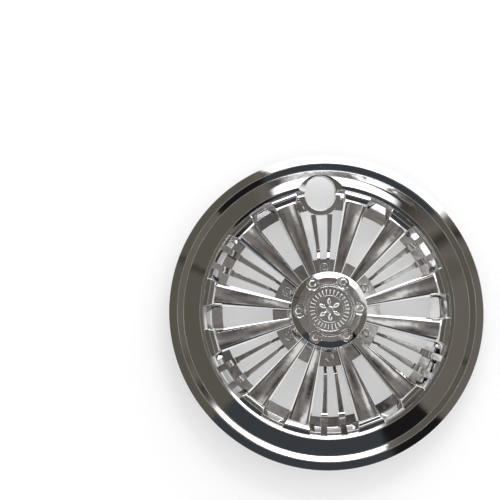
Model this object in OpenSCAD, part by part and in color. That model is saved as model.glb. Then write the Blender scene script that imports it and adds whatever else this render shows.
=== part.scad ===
// Chrome wheel cover for a golf cart's steel wheel, lying on its back, face up (+Z).
// The axis of the wheel is the Z axis. The tips of the snap fingers lie in the plane z = 0,
// and the valve hole is on the +Y side. All lengths are in millimetres.

/* [Overall] */
// Outer diameter of the cover
cover_d = 240; // [230:1:250]
// Distance from the finger tips to the back edge of the rim
snap_depth = 15; // [13:0.5:18]
// Wall thickness of the moulding
wall = 2.4; // [2:0.1:2.6]

/* [Outer ring] */
// Radial width of the sloped outer bead
roll_w = 6.6; // [6.2:0.1:7.4]
// Height of the rim's outer edge over the back edge
edge_h = 4.6; // [4.2:0.1:5]
// Height of the outer bead over the back edge
bead_h = 7.3; // [6.8:0.1:8]
// Radial width of the step down from the bead to the groove
step_w = 4.8; // [4:0.1:6]
// Height of the groove over the back edge
groove_h = 4.4; // [3.6:0.1:5]
// Radial width of the wide smooth band
band_w = 13; // [11:0.1:15]
// Height of the band's inner crest over the back edge
band_h = 9.9; // [9.2:0.1:11]
// How far the middle of the band bulges over a straight slope
band_bulge = 0.45; // [0.2:0.05:0.8]
// Radial width of the roll-in at the band's inner edge
nose_w = 2; // [1.6:0.1:3]
// Height of the narrow ledge inside the band
ledge_h = 6.3; // [5.8:0.1:6.8]
// Radial width of that ledge
ledge_w = 2.2; // [1.6:0.1:3]
// Radial run of the sloped wall between the ledge and the apron
slope_w = 4.4; // [3.6:0.1:5.2]
// Height of the apron's face over the back edge
apron_h = 1; // [0.6:0.1:1.6]
// Radial width of the apron between the sloped wall and the windows
apron_w = 8; // [6.5:0.1:9]

/* [Hub] */
// Diameter of the hub's round wall
hub_d = 58; // [54:0.5:61]
// Diameter of the flat top of the hub
cap_d = 48.4; // [46:0.2:50]
// Height of the hub's round wall over the back edge
hub_wall_h = 20.4; // [18:0.2:21]
// Height of the hub's flat top over the back edge
cap_h = 24.6; // [23:0.2:27]
// Radial width of the floor between the hub and the windows
floor_w = 12; // [10.5:0.1:13]

/* [Broad spokes] */
// Number of identical sectors, each with two broad spokes and two thin ribs
sectors = 6; // [5:1:7]
// Angle between the two broad spokes of a pair
pair_angle = 24; // [23:0.2:25]
// Angle that one broad spoke fills
spoke_angle = 12.2; // [11.6:0.1:12.6]
// Height of a spoke's top over the back edge, at mid length
spoke_h = 6.3; // [5.8:0.1:6.8]
// Radius of the crown across a spoke
crown_r = 30; // [24:1:45]
// How far a spoke's top dips between its two ends
dish = 0.5; // [0.2:0.1:0.8]
// Angle that the bevel along each side of a spoke fills
bevel_angle = 2.4; // [1.8:0.1:2.8]
// Slope of that bevel
bevel_slope = 50; // [40:1:58]
// Thickness of a spoke's top over its hollow back
spoke_skin = 3.2; // [2.8:0.1:3.6]
// Thickness of a spoke's side walls
spoke_side = 1.6; // [1.3:0.1:1.8]
// Angle that the raised block at a spoke's outer end fills
block_angle = 13.4; // [12.8:0.1:14]
// Height of that block over the back edge
block_h = 8.8; // [8.4:0.1:9.2]
// Radial run of the block's sloped inner face
block_slope_w = 3.4; // [2.6:0.1:4.2]

/* [Thin ribs] */
// Angle between the two thin ribs of a fan
rib_pair_angle = 9.6; // [9:0.1:10.4]
// Angle that one thin rib fills
rib_angle = 3.4; // [2.8:0.1:3.8]
// Height of a thin rib's top over the back edge
rib_h = 4.2; // [3.6:0.1:4.8]
// Radial run of the slope at a thin rib's inner end
rib_slope_w = 8; // [5:0.5:10]
// Height of the block at a thin rib's outer end over the back edge
rib_block_h = 5.5; // [5:0.1:6]
// Radius of the round tab outside that block
tab_r = 2.4; // [2:0.1:2.6]
// Width of the groove round the tab
tab_groove = 0.9; // [0.6:0.1:1.2]

/* [Lugs and dummy bolts] */
// Diameter of a lug on the hub floor
lug_d = 6.8; // [6:0.1:7.4]
// Diameter of the hole in a lug
lug_hole_d = 2.6; // [2:0.1:3.2]
// Height of a lug over the hub floor
lug_h = 2.6; // [2:0.1:3.4]
// Diameter of the circle on which the dummy bolts stand
bolt_circle_d = 46.6; // [44:0.2:48]
// Diameter of the round seat under a dummy bolt
bolt_seat_d = 8.8; // [8:0.1:9.4]
// Depth of that seat below the hub's flat top
bolt_seat_depth = 2.2; // [1.8:0.1:2.6]
// Width across the flats of a dummy bolt's head
bolt_flats = 5; // [4.4:0.1:5.4]
// Height of a dummy bolt's head
bolt_head_h = 1.9; // [1.5:0.1:2.2]

/* [Valve hole] */
// Width of the valve hole
valve_w = 23.5; // [20:0.5:25]
// How much longer than wide the valve hole is, along its radius
valve_long = 3; // [1:0.5:4]
// Distance of the hole's centre inside the band's inner edge
valve_in = 2.4; // [1:0.2:4]
// Width of the collar round the inner half of the hole
collar_w = 3.9; // [3:0.1:4.4]
// Height of that collar over the back edge
collar_h = 4.6; // [4:0.1:5.2]
// Height of the lip round the hole over the band's face
valve_lip = 0.8; // [0.4:0.1:1.2]

/* [Snap fingers] */
// Number of snap fingers
fingers = 12; // [8:1:12]
// Width of a snap finger, along the circle
finger_w = 14; // [10:0.5:16]
// Thickness of a snap finger
finger_t = 2.2; // [1.8:0.1:2.6]
// Distance of the fingers' outer face outside the band's inner edge
finger_out = 3.8; // [3.4:0.1:4.4]
// How far a finger's barb stands out
barb = 1.7; // [1.2:0.1:2.2]
// Height of the barb's edge over the finger tip
barb_z = 3.2; // [2.6:0.1:4]

/* [Retention ring] */
// Diameter of the spring wire
wire_d = 2.4; // [2:0.1:2.8]
// Angle of the gap in the wire ring, centred on the valve hole
wire_gap_angle = 28; // [24:1:34]
// Length of the wire's ends that turn inwards
wire_end = 7; // [5:0.5:9]
// Gap between the wire and the hooks that hold it
wire_clearance = 0.05; // [0.02:0.01:0.1]

/* [Medallion] */
// Diameter of the medallion
medallion_d = 35; // [33:0.2:36]
// Thickness of the medallion's disc
medallion_t = 2; // [1.8:0.1:2.4]
// Depth of the medallion's seat in the hub
seat_depth = 1.6; // [1.2:0.1:2]
// Gap round the medallion in its seat
seat_clearance = 0.2; // [0.1:0.05:0.4]
// Height of the raised pattern on the medallion
relief = 0.5; // [0.3:0.1:0.8]
// Number of short bars round the medallion
bars = 30; // [24:1:36]
// Number of petals in the medallion's middle
petals = 6; // [5:1:8]

/* [Hidden] */
$fn = 120;
chrome = [0.80, 0.80, 0.82];
steel = [0.55, 0.56, 0.58];
arc_steps = 4;
more = 0.5;

// Heights over the finger tips
back_z = snap_depth;
spoke_z = back_z + spoke_h;
cap_z = back_z + cap_h;
floor_z = back_z + apron_h;
base_z = floor_z - wall;
bar_z = base_z + 0.4;
top_z = cap_z + 10;

// Radii of the outer ring, from the rim inwards
rim_r = cover_d / 2;
bead_r = rim_r - roll_w;
groove_r = bead_r - step_w;
crest_r = groove_r - band_w;
nose_r = crest_r - nose_w;
slope_r = nose_r - ledge_w;
foot_r = slope_r - slope_w;
window_out_r = foot_r - apron_w;

// Radius of the retention ring's centre line
wire_ring_r = nose_r + finger_out - finger_t - wire_clearance - wire_d / 2;

// Radii of the hub
hub_r = hub_d / 2;
cap_r = cap_d / 2;
window_in_r = hub_r + floor_w;
hub_draft = 0.4;

// Angles of one sector: a pair of spokes is centred on 0, a fan of thin ribs on half the sector
sector_angle = 360 / sectors;
fan_angle = sector_angle / 2;
valve_angle = 90;
valve_r = nose_r - valve_in;

// Unit vector along v, the same turned left, and v turned by an angle
function unit(v) = v / norm(v);
function left(v) = [-v.y, v.x];
function turned(v, a) = [v.x * cos(a) - v.y * sin(a), v.x * sin(a) + v.y * cos(a)];

// Direction of leg i of an open path, and the angle by which the path turns at corner i
function leg(path, i) = unit(path[i + 1] - path[i]);
function turn(path, i) = let (u = leg(path, i - 1), v = leg(path, i)) atan2(cross(u, v), u * v);

// The path moved to its left by d, corner by corner
function shifted(path, d) = let (last = len(path) - 1) [
    for (i = [0:last])
        let (u = leg(path, max(i - 1, 0)), v = leg(path, min(i, last - 1)))
        path[i] + (left(u) + left(v)) * d / (1 + u * v)
];

// Corner i of a path as an arc of radius r, or as the bare corner where r is too small
function corner(path, i, r) = r < 0.1 ? [path[i]] :
    let (u = leg(path, i - 1), a = turn(path, i), side = left(u) * r * sign(a),
         start = path[i] - u * r * abs(tan(a / 2)))
    [for (k = [0:arc_steps]) start + side - turned(side, a * k / arc_steps)];

// The path with its corners rounded by a list of radii, after a shift of d to its left
function rounded(path, radii, d = 0) = let (p = shifted(path, d), last = len(path) - 1) concat(
    [p[0]],
    [for (i = [1:last - 1]) each corner(p, i, radii[i] - d * sign(turn(path, i)))],
    [p[last]]
);

function reversed(list) = [for (i = [len(list) - 1:-1:0]) list[i]];

// The face of the outer ring as a path from the rim's back edge to the windows, and its corner radii
ring_path = [
    [rim_r, back_z],
    [rim_r, back_z + edge_h],
    [bead_r, back_z + bead_h],
    [groove_r, back_z + groove_h],
    [groove_r - band_w / 2, back_z + (groove_h + band_h) / 2 + band_bulge],
    [crest_r, back_z + band_h],
    [nose_r, back_z + ledge_h],
    [slope_r, back_z + ledge_h - 0.2],
    [foot_r, floor_z],
    [window_out_r, floor_z]
];
ring_radii = [0, 1.4, 1, 0.8, 25, 1.2, 0.8, 0.6, 1.4, 0];

// The face of the hub as a path from the windows to the axis, and its corner radii
hub_path = [
    [window_in_r, floor_z],
    [hub_r + hub_draft, floor_z],
    [hub_r, back_z + hub_wall_h],
    [cap_r, cap_z],
    [0, cap_z]
];
hub_radii = [0, 1, 0.8, 0.8, 0];

// Section of a wall under a path
module wall_section(path, radii) {
    polygon(concat(rounded(path, radii), reversed(rounded(path, radii, wall))));
}

// Everything under the ring's face, or over it where rise is more than 0
module under_ring(rise) {
    face = rounded(ring_path, ring_radii, -rise);
    rotate_extrude()
        polygon(concat([[rim_r + rise, bar_z]], face, [[window_out_r, bar_z]]));
}

// A block between two radii that fills an angle, centred on the X axis
module wedge(angle, r0, r1, z0, z1) {
    t = tan(angle / 2);
    translate([0, 0, z0])
        linear_extrude(z1 - z0)
            polygon([[r0, -r0 * t], [r1, -r1 * t], [r1, r1 * t], [r0, r0 * t]]);
}

// A plate with the given side view, standing along the X axis
module side_plate(points, thickness) {
    rotate([90, 0, 0])
        linear_extrude(thickness, center = true)
            polygon(points);
}

// Everything under a plane that falls away to the left of a ray from the axis
module under_bevel(ray_angle, z) {
    rotate(ray_angle)
        translate([0, 0, z])
            rotate([-bevel_slope, 0, 0])
                translate([0, -rim_r, -rim_r])
                    cube([rim_r, 2 * rim_r, rim_r]);
}

// A bar that fills an angle, with a bevel along both sides
module bevelled(angle, z) {
    intersection() {
        children();
        under_bevel(angle / 2 - bevel_angle * angle / spoke_angle, z);
        mirror([0, 1, 0]) under_bevel(angle / 2 - bevel_angle * angle / spoke_angle, z);
    }
}

// Places its children at the two spokes of each pair
module at_spokes() {
    for (s = [0:sectors - 1], side = [-1, 1])
        rotate(valve_angle + fan_angle + s * sector_angle + side * pair_angle / 2) children();
}

// Places its children at the middle of each fan of thin ribs; the first fan holds the valve hole
module at_fans(first = 0) {
    for (s = [first:sectors - 1]) rotate(valve_angle + s * sector_angle) children();
}

// Places its children at the middle of each pair of spokes
module at_pairs() {
    for (s = [0:sectors - 1]) rotate(valve_angle + fan_angle + s * sector_angle) children();
}

// Top of a broad spoke: round across its width and dished along its length
module crown() {
    mid = (hub_r + slope_r) / 2;
    half = (slope_r - hub_r) / 2;
    dish_r = (half * half + dish * dish) / (2 * dish);
    translate([0, 0, spoke_z - crown_r])
        rotate([0, 90, 0])
            rotate_extrude()
                difference() {
                    translate([0, hub_r - wall]) square([crown_r + 2 * dish, 2 * half + 2 * wall]);
                    translate([crown_r + dish_r, mid]) circle(r = dish_r, $fn = 720);
                }
}

// One broad spoke, from inside the hub's wall to the ring's ledge
module broad_spoke() {
    bevelled(spoke_angle, spoke_z) {
        intersection() {
            wedge(spoke_angle, hub_r - wall / 2, slope_r, bar_z, spoke_z + 2 * dish);
            crown();
        }
    }
}

// A hollow between two radii behind a broad spoke, up to a height and with side walls of a thickness
module spoke_pocket(r0, r1, z1, wall_t) {
    t = tan(spoke_angle / 2);
    side = wall_t / cos(spoke_angle / 2);
    z0 = base_z - 4;
    translate([0, 0, z0])
        linear_extrude(z1 - z0)
            polygon([[r0, side - r0 * t], [r1, side - r1 * t], [r1, r1 * t - side], [r0, r0 * t - side]]);
}

// The hollow behind a broad spoke, deeper under the raised block
module spoke_hollow() {
    spoke_pocket(hub_r + wall, foot_r, spoke_z - spoke_skin, spoke_side);
    spoke_pocket(foot_r - 1.2, slope_r + 0.6, back_z + block_h - spoke_skin, spoke_side + 0.5);
}

// The raised block where a broad spoke meets the ring
module spoke_block() {
    r1 = nose_r + 1;
    r0 = slope_r - 5.2;
    intersection() {
        wedge(block_angle, r0, r1, bar_z, back_z + block_h);
        side_plate([
            [r0, base_z - more],
            [r0, back_z + spoke_h - 0.2],
            [r0 + block_slope_w, back_z + block_h],
            [r1 + more, back_z + block_h],
            [r1 + more, base_z - more]
        ], rim_r);
    }
}

// Filled corners between the spokes of a pair, scooped out to a round cup
module pair_cup() {
    gap = pair_angle - spoke_angle;
    cup_x = window_out_r + 0.8;
    foot = cup_x * tan(gap / 2) - 0.8;
    depth = ledge_h - apron_h - 0.3;
    rim = slope_r - 0.4 - cup_x;
    difference() {
        wedge(gap + 2, window_out_r, slope_r + 1, bar_z, floor_z + depth);
        translate([cup_x, 0, floor_z])
            cylinder(h = depth + more, r1 = foot, r2 = foot + (rim - foot) * (depth + more) / depth);
    }
}

// Filled corner between a broad spoke and a fan, scooped out to a cone; side is 1 or -1
module fan_corner(side) {
    edge = fan_angle - pair_angle / 2 - spoke_angle / 2;
    depth = ledge_h - apron_h - 0.4;
    reach = 6.2;
    r = slope_r - reach;
    inner = edge - atan(reach / r);
    mirror([0, side < 0 ? 1 : 0, 0])
        difference() {
            rotate((edge + inner) / 2 + 0.5) wedge(edge - inner + 1, r, slope_r + 1, bar_z, floor_z + depth);
            rotate(inner)
                translate([r, 0, floor_z])
                    cylinder(h = depth + more, r1 = 0.6, r2 = 0.6 + (reach - 0.6) * (depth + more) / depth);
        }
}

// One thin rib: a bevelled bar that rises from the hub floor, a block and a round tab on the ring
module thin_rib(outer_end) {
    r0 = window_in_r - 1.5;
    block_r = window_out_r - 0.5;
    tab_x = slope_r - tab_r - 0.2;
    rib_z = back_z + rib_h;
    rib_block_z = back_z + rib_block_h;
    bar_end = outer_end ? block_r + 1 : valve_r - valve_w / 2 - collar_w / 2;
    bevelled(rib_angle, rib_z) {
        intersection() {
            wedge(rib_angle, r0, bar_end, bar_z, rib_z);
            side_plate([
                [r0 - more, base_z - more],
                [r0 - more, floor_z - 0.4],
                [r0 + 1, floor_z - 0.2],
                [r0 + rib_slope_w, rib_z - 0.2],
                [bar_end + more, rib_z],
                [bar_end + more, base_z - more]
            ], rim_r);
        }
    }
    if (outer_end) {
        difference() {
            intersection() {
                wedge(rib_angle, block_r - 2.4, slope_r, bar_z, rib_block_z);
                side_plate([
                    [block_r - 2.4, base_z - more],
                    [block_r - 2.4, rib_z - 0.3],
                    [block_r, rib_block_z],
                    [slope_r + more, rib_block_z],
                    [slope_r + more, base_z - more]
                ], rim_r);
            }
            translate([tab_x, 0, rib_block_z - 2]) cylinder(h = 5, r = tab_r + tab_groove);
        }
        translate([tab_x, 0, bar_z]) cylinder(h = back_z + ledge_h - bar_z, r = tab_r);
        translate([tab_x, -tab_r, bar_z])
            cube([nose_r - tab_x + more, 2 * tab_r, back_z + ledge_h - bar_z]);
    }
}

// The two thin ribs of a fan
module fan_ribs(outer_end) {
    for (side = [-1, 1]) rotate(side * rib_pair_angle / 2) thin_rib(outer_end);
}

// A nut-like lug on the hub floor
module lug() {
    translate([(hub_r + window_in_r) / 2 - 1, 0, bar_z]) {
        difference() {
            cylinder(h = floor_z - bar_z + lug_h, d = lug_d);
            translate([0, 0, floor_z - bar_z]) cylinder(h = lug_h + more, d = lug_hole_d);
        }
    }
}

// A long round hole's outline, grown by extra, centred on the valve
module valve_outline(extra) {
    for (side = [-1, 1]) translate([valve_r + side * valve_long / 2, 0]) circle(d = valve_w + 2 * extra);
    translate([valve_r - valve_long / 2, -valve_w / 2 - extra]) square([valve_long, valve_w + 2 * extra]);
}

// The collar round the valve hole and the lip where the hole cuts the band
module valve_collar() {
    rotate(valve_angle) {
        translate([0, 0, base_z - 0.4]) linear_extrude(back_z + collar_h - base_z + 0.4) valve_outline(collar_w);
        intersection() {
            translate([0, 0, base_z]) linear_extrude(cap_h) valve_outline(wall);
            under_ring(valve_lip);
        }
    }
}

// A snap finger with its barb outside and, inside, the hook and the nib that hold the wire
module snap_finger() {
    r = nose_r + finger_out;
    t = finger_t;
    root_z = back_z + band_h - 0.8 * wall;
    hook_z = barb_z - 0.4;
    nib_z = hook_z + wire_d + 2 * wire_clearance;
    arc = 2 * asin(finger_w / 2 / r);
    rotate(-arc / 2)
        rotate_extrude(angle = arc)
            polygon([
                [r - t - 0.6, 0],
                [r - 0.6, 0],
                [r + barb, barb_z],
                [r + barb, barb_z + 0.8],
                [r, barb_z + 0.8 + barb],
                [r, root_z],
                [r - t, root_z],
                [r - t, nib_z + 1.6],
                [r - t - 0.8, nib_z + 0.8],
                [r - t, nib_z],
                [r - t, hook_z],
                [r - t - wire_d * 0.8, hook_z],
                [r - t - wire_d * 0.8, hook_z - 1.2]
            ]);
}

// The web that ties a finger to the back of the sloped wall
module finger_web() {
    side_plate([
        [foot_r + wall / 2, base_z + 0.7],
        [nose_r + finger_out - finger_t + 0.3, back_z - 4],
        [nose_r + finger_out - finger_t + 0.3, back_z + ledge_h - 1.4],
        [nose_r + 0.5, back_z + ledge_h - 1.4]
    ], 1.8);
}

// Places its children at the snap fingers, which stand clear of the valve hole
module at_fingers() {
    for (i = [0:fingers - 1]) rotate(valve_angle + (i + 0.5) * 360 / fingers) children();
}

// One dummy bolt on its round seat
module dummy_bolt() {
    seat_z = cap_z - bolt_seat_depth;
    translate([bolt_circle_d / 2, 0, 0]) {
        translate([0, 0, cap_z - bolt_seat_depth - 4.2]) cylinder(h = 4.2, d = bolt_seat_d);
        translate([0, 0, seat_z - 0.2]) cylinder(h = bolt_head_h + 0.2, d = bolt_flats / cos(30), $fn = 6);
    }
}

// The hub: floor, round wall, bevel and flat top with the medallion's seat
module hub() {
    seat_r = medallion_d / 2 + seat_clearance;
    difference() {
        union() {
            rotate_extrude() wall_section(hub_path, hub_radii);
            translate([0, 0, cap_z - wall - seat_depth]) cylinder(h = wall + seat_depth / 2, r = seat_r + wall);
        }
        translate([0, 0, cap_z - seat_depth]) cylinder(h = seat_depth + more, r = seat_r);
        rotate_extrude() translate([seat_r + 1.2, cap_z - 0.7]) square([1.3, 1.2]);
        at_pairs()
            translate([bolt_circle_d / 2, 0, cap_z - bolt_seat_depth])
                cylinder(h = bolt_seat_depth + more, d = bolt_seat_d + 0.5);
    }
    at_pairs() dummy_bolt();
}

// The whole moulding
module cover_body() {
    color(chrome)
        difference() {
            union() {
                rotate_extrude() wall_section(ring_path, ring_radii);
                hub();
                at_spokes() {
                    broad_spoke();
                    spoke_block();
                }
                at_pairs() pair_cup();
                at_fans(1) {
                    fan_ribs(true);
                    fan_corner(1);
                    fan_corner(-1);
                }
                rotate(valve_angle) fan_ribs(false);
                at_fans() lug();
                valve_collar();
                at_fingers() {
                    snap_finger();
                    finger_web();
                }
            }
            at_spokes() spoke_hollow();
            rotate(valve_angle)
                translate([0, 0, -more]) linear_extrude(top_z) valve_outline(0);
        }
}

// A pointed leaf along the X axis
module petal(length, width) {
    r = (length * length + width * width) / (4 * width);
    intersection() {
        translate([0, r - width / 2]) circle(r = r);
        translate([0, width / 2 - r]) circle(r = r);
    }
}

// The disc in the hub's seat, with a ring of short bars and a flower
module centre_medallion() {
    r = medallion_d / 2;
    disc_z = cap_z - seat_depth;
    face_z = disc_z + medallion_t;
    bar_in = 0.64 * r;
    bar_out = 0.87 * r;
    petal_in = 2.8;
    petal_l = 0.52 * r - petal_in;
    petal_w = 18 / petals;
    color(chrome) {
        translate([0, 0, disc_z]) cylinder(h = medallion_t, r = r);
        translate([0, 0, face_z - 0.2])
            rotate_extrude() {
                translate([r - 1.1, 0]) square([1.1, relief + 0.2]);
                translate([bar_in - 1.3, 0]) square([0.7, relief + 0.2]);
            }
        for (i = [0:bars - 1])
            rotate(i * 360 / bars)
                translate([bar_in, -0.45, face_z - 0.2]) cube([bar_out - bar_in, 0.9, relief + 0.2]);
        for (i = [0:petals - 1])
            rotate((i + 0.5) * 360 / petals)
                translate([petal_in + petal_l / 2, 0, face_z - 0.2])
                    linear_extrude(relief + 0.2) petal(petal_l, petal_w);
        intersection() {
            translate([0, 0, face_z - 1.4]) sphere(r = 2.6, $fn = 48);
            translate([0, 0, face_z - 0.2]) cylinder(h = 3, r = 3);
        }
    }
}

// The spring wire that spreads the fingers, open at the valve hole with its ends turned inwards
module retention_ring() {
    $fn = 40;
    z = barb_z - 0.4 + wire_clearance + wire_d / 2;
    color(steel)
        translate([0, 0, z])
            rotate(valve_angle) {
                rotate(wire_gap_angle / 2)
                    rotate_extrude(angle = 360 - wire_gap_angle)
                        translate([wire_ring_r, 0]) circle(d = wire_d);
                for (side = [-1, 1])
                    rotate(side * wire_gap_angle / 2)
                        translate([wire_ring_r, 0, 0]) {
                            sphere(d = wire_d);
                            rotate([0, -90, 0]) cylinder(h = wire_end, d = wire_d);
                        }
            }
}

cover_body();
centre_medallion();
retention_ring();
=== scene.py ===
# %% [markdown]
# # A chromed wheel cover for a golf cart
#
# The cover is one thin plastic moulding with a mirror plating. It lies face up on a pale floor,
# as it does in a product photograph taken from almost straight above. The lesson models every
# form of the face again on top of the CAD part, so that each one has clean, smooth surfaces:
# a mirror shows every facet and dent that a matt surface would hide.
#
# All pieces end up in metres in that same frame.

import math

import bpy
from mathutils import Matrix, Vector


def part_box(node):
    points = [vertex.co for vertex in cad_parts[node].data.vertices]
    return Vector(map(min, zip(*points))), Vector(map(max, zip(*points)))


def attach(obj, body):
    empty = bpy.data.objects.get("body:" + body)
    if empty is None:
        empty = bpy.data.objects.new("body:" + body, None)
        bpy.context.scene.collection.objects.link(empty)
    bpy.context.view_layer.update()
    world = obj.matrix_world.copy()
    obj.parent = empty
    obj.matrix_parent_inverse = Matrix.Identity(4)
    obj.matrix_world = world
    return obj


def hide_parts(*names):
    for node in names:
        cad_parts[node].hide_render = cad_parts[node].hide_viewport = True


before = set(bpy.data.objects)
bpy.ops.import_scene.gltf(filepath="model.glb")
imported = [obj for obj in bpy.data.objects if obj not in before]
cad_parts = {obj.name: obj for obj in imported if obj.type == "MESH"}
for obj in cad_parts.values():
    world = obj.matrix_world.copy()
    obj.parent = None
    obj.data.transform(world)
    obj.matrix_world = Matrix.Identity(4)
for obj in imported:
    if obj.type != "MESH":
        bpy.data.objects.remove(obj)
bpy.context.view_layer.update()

# %% [markdown]
# ## The main sizes
#
# Lengths are written in millimetres and turned to metres by one factor. The rim's radius and the
# height of the hub come from the CAD part itself, and the other radii repeat the CAD's own sizes,
# from the rim inwards. The part stands on the tips of its snap fingers, so heights start there.
#
# Angles are in degrees. The face repeats six times: a fan of thin ribs, then a pair of broad
# spokes. The first fan lies at the top, where the hole for the tyre's valve is.

# %% Sizes
MM = 0.001
rim_low, rim_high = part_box("cover_body")
RIM_R = (rim_high.x - rim_low.x) / 2 / MM
CAP_Z = rim_high.z / MM  # flat top of the hub

WALL = 2.4  # thickness of the moulding
BACK_Z = 15  # back edge of the rim
FLOOR_Z = BACK_Z + 1  # face of the apron and of the hub's floor
BASE_Z = FLOOR_Z - WALL  # back of the apron and of the hub's floor
SPOKE_Z = BACK_Z + 6.3  # top of a broad spoke, at its ends
LEDGE_Z = BACK_Z + 6.3  # the ledge inside the band
BLOCK_Z = BACK_Z + 8.8  # the block at a spoke's outer end

BEAD_R = RIM_R - 6.6  # top of the rolled bead
GROOVE_R = BEAD_R - 4.8  # bottom of the groove
CREST_R = GROOVE_R - 13  # inner edge of the band
NOSE_R = CREST_R - 2  # outer edge of the ledge
LEDGE_R = NOSE_R - 2.2  # inner edge of the ledge
FOOT_R = LEDGE_R - 4.4  # foot of the sloped wall
WINDOW_OUT_R = FOOT_R - 8  # outer ends of the windows
HUB_R = 29  # wall of the hub
CAP_R = 24.2  # edge of the hub's flat top
WINDOW_IN_R = HUB_R + 12  # inner ends of the windows

VALVE_ANGLE = 90
SECTOR = 60  # from one fan to the next
PAIR_HALF = 12  # from the middle of a pair to each of its spokes
FANS = [VALVE_ANGLE + SECTOR * k for k in range(6)]
PAIRS = [angle + SECTOR / 2 for angle in FANS]
SPOKES = [angle + side * PAIR_HALF for angle in PAIRS for side in (-1, 1)]
print("rim radius", RIM_R, "hub top", CAP_Z)

# %% [markdown]
# ## Small helpers
#
# Every form starts as an outline, a circle whose vertices are moved to their places. A turned
# piece spins its outline about the wheel's axis, a block lifts it, and a plate draws it sideways.
# A skin is a grid whose rows are laid along a form that changes on its way, such as a spoke that
# widens towards the rim.


# %% Selecting and editing
def pick(obj):
    """Makes obj the only selected object and the active one."""
    bpy.ops.object.select_all(action="DESELECT")
    obj.select_set(True)
    bpy.context.view_layer.objects.active = obj
    return obj


def edit(obj, *steps):
    """Runs steps in edit mode, each with everything selected, and leaves the normals outwards."""
    pick(obj)
    bpy.ops.object.mode_set(mode="EDIT")
    for step in steps:
        bpy.ops.mesh.select_all(action="SELECT")
        step()
    bpy.ops.mesh.select_all(action="SELECT")
    bpy.ops.mesh.remove_doubles(threshold=1e-6)
    bpy.ops.mesh.normals_make_consistent(inside=False)
    bpy.ops.object.mode_set(mode="OBJECT")
    return obj


# %% Rounding the corners of a line
def rounded(corners, closed=True, steps=6):
    """Points of a line with corners (x, y, radius), each corner with a radius made an arc."""
    points, count = [], len(corners)
    for i, (x, y, radius) in enumerate(corners):
        here = Vector((x, y))
        if radius == 0 or (not closed and i in (0, count - 1)):
            points.append(here)
            continue
        back = (Vector(corners[i - 1][:2]) - here).normalized()
        ahead = (Vector(corners[(i + 1) % count][:2]) - here).normalized()
        half = back.angle(ahead) / 2
        centre = here + (back + ahead).normalized() * radius / math.sin(half)
        reach = radius / math.tan(half)
        first, last = here + back * reach - centre, here + ahead * reach - centre
        sweep = math.atan2(first.cross(last), first.dot(last))
        for k in range(steps + 1):
            points.append(centre + Matrix.Rotation(sweep * k / steps, 2) @ first)
    return points


def under(corners, wall):
    """The same open line moved sideways by a wall's thickness, with its corners' radii to fit."""
    moved, last = [], len(corners) - 1
    places = [Vector(c[:2]) for c in corners]
    for i, place in enumerate(places):
        before = (place - places[i - 1]).normalized() if i else (places[1] - place).normalized()
        after = (places[i + 1] - place).normalized() if i < last else before
        side = Vector((-before.y - after.y, before.x + after.x)) / (1 + before.dot(after))
        turn = math.copysign(1, before.cross(after)) if i not in (0, last) else 0
        radius = corners[i][2] - wall * turn if corners[i][2] else 0
        moved.append((*(place + side * wall), max(radius, 0.3) if corners[i][2] else 0))
    return moved


# %% Outlines and turned pieces
def outline(name, points, closed=True):
    """A line through points in millimetres, made of a circle's vertices moved to their places."""
    bpy.ops.object.select_all(action="DESELECT")
    bpy.ops.mesh.primitive_circle_add(vertices=len(points), radius=1)
    obj = bpy.context.object
    obj.name = name
    for vertex, point in zip(obj.data.vertices, points):
        vertex.co = Vector(point) * MM
    if not closed:
        ends = {0, len(points) - 1}
        bpy.ops.object.mode_set(mode="EDIT")
        bpy.ops.mesh.select_mode(type="EDGE")
        bpy.ops.mesh.select_all(action="DESELECT")
        bpy.ops.object.mode_set(mode="OBJECT")
        for edge in obj.data.edges:
            edge.select = set(edge.vertices) == ends
        bpy.ops.object.mode_set(mode="EDIT")
        bpy.ops.mesh.delete(type="EDGE")
        bpy.ops.mesh.select_mode(type="VERT")
        bpy.ops.object.mode_set(mode="OBJECT")
    return obj


def fill_ends():
    """Fills every open loop of the mesh that is being edited."""
    bpy.ops.mesh.fill_holes(sides=0)


def turned(name, section, steps=240, angle=360, closed=True):
    """A section of (radius, height) points turned about the wheel's axis."""
    obj = outline(name, [(r, 0, z) for r, z in section], closed)

    def spin():
        bpy.ops.mesh.spin(
            steps=steps, angle=-math.radians(angle), center=(0, 0, 0), axis=(0, 0, 1)
        )

    return edit(obj, spin) if angle == 360 else edit(obj, spin, fill_ends)


# %% Blocks, plates and skins
def drawn(name, points, along):
    """A filled outline of points, drawn along a vector."""

    def draw():
        bpy.ops.mesh.edge_face_add()
        bpy.ops.mesh.extrude_region_move(
            TRANSFORM_OT_translate={"value": [step * MM for step in along]}
        )

    return edit(outline(name, points), draw)


def block(name, points, z0, z1):
    """A filled outline of (x, y) points, lifted from one height to another."""
    return drawn(name, [(x, y, z0) for x, y in points], (0, 0, z1 - z0))


def plate(name, points, thickness):
    """An upright plate along the x axis, with an outline of (radius, height) points."""
    return drawn(name, [(r, -thickness / 2, z) for r, z in points], (0, thickness, 0))


def skin(name, rows):
    """A grid laid over rows of points; each row is a closed line, and both ends are filled."""
    bpy.ops.object.select_all(action="DESELECT")
    bpy.ops.mesh.primitive_grid_add(x_subdivisions=len(rows[0]), y_subdivisions=len(rows) - 1)
    obj = bpy.context.object
    obj.name = name
    places = [point for row in rows for point in [*row, row[0]]]
    for vertex, place in zip(obj.data.vertices, places):
        vertex.co = Vector(place) * MM

    def weld():
        bpy.ops.mesh.remove_doubles(threshold=1e-6)

    return edit(obj, weld, fill_ends)


def radial_skin(name, section, start, end, steps):
    """A skin over the closed lines that section(r) gives, from one radius to another."""
    return skin(name, [section(start + (end - start) * k / steps) for k in range(steps + 1)])


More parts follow.
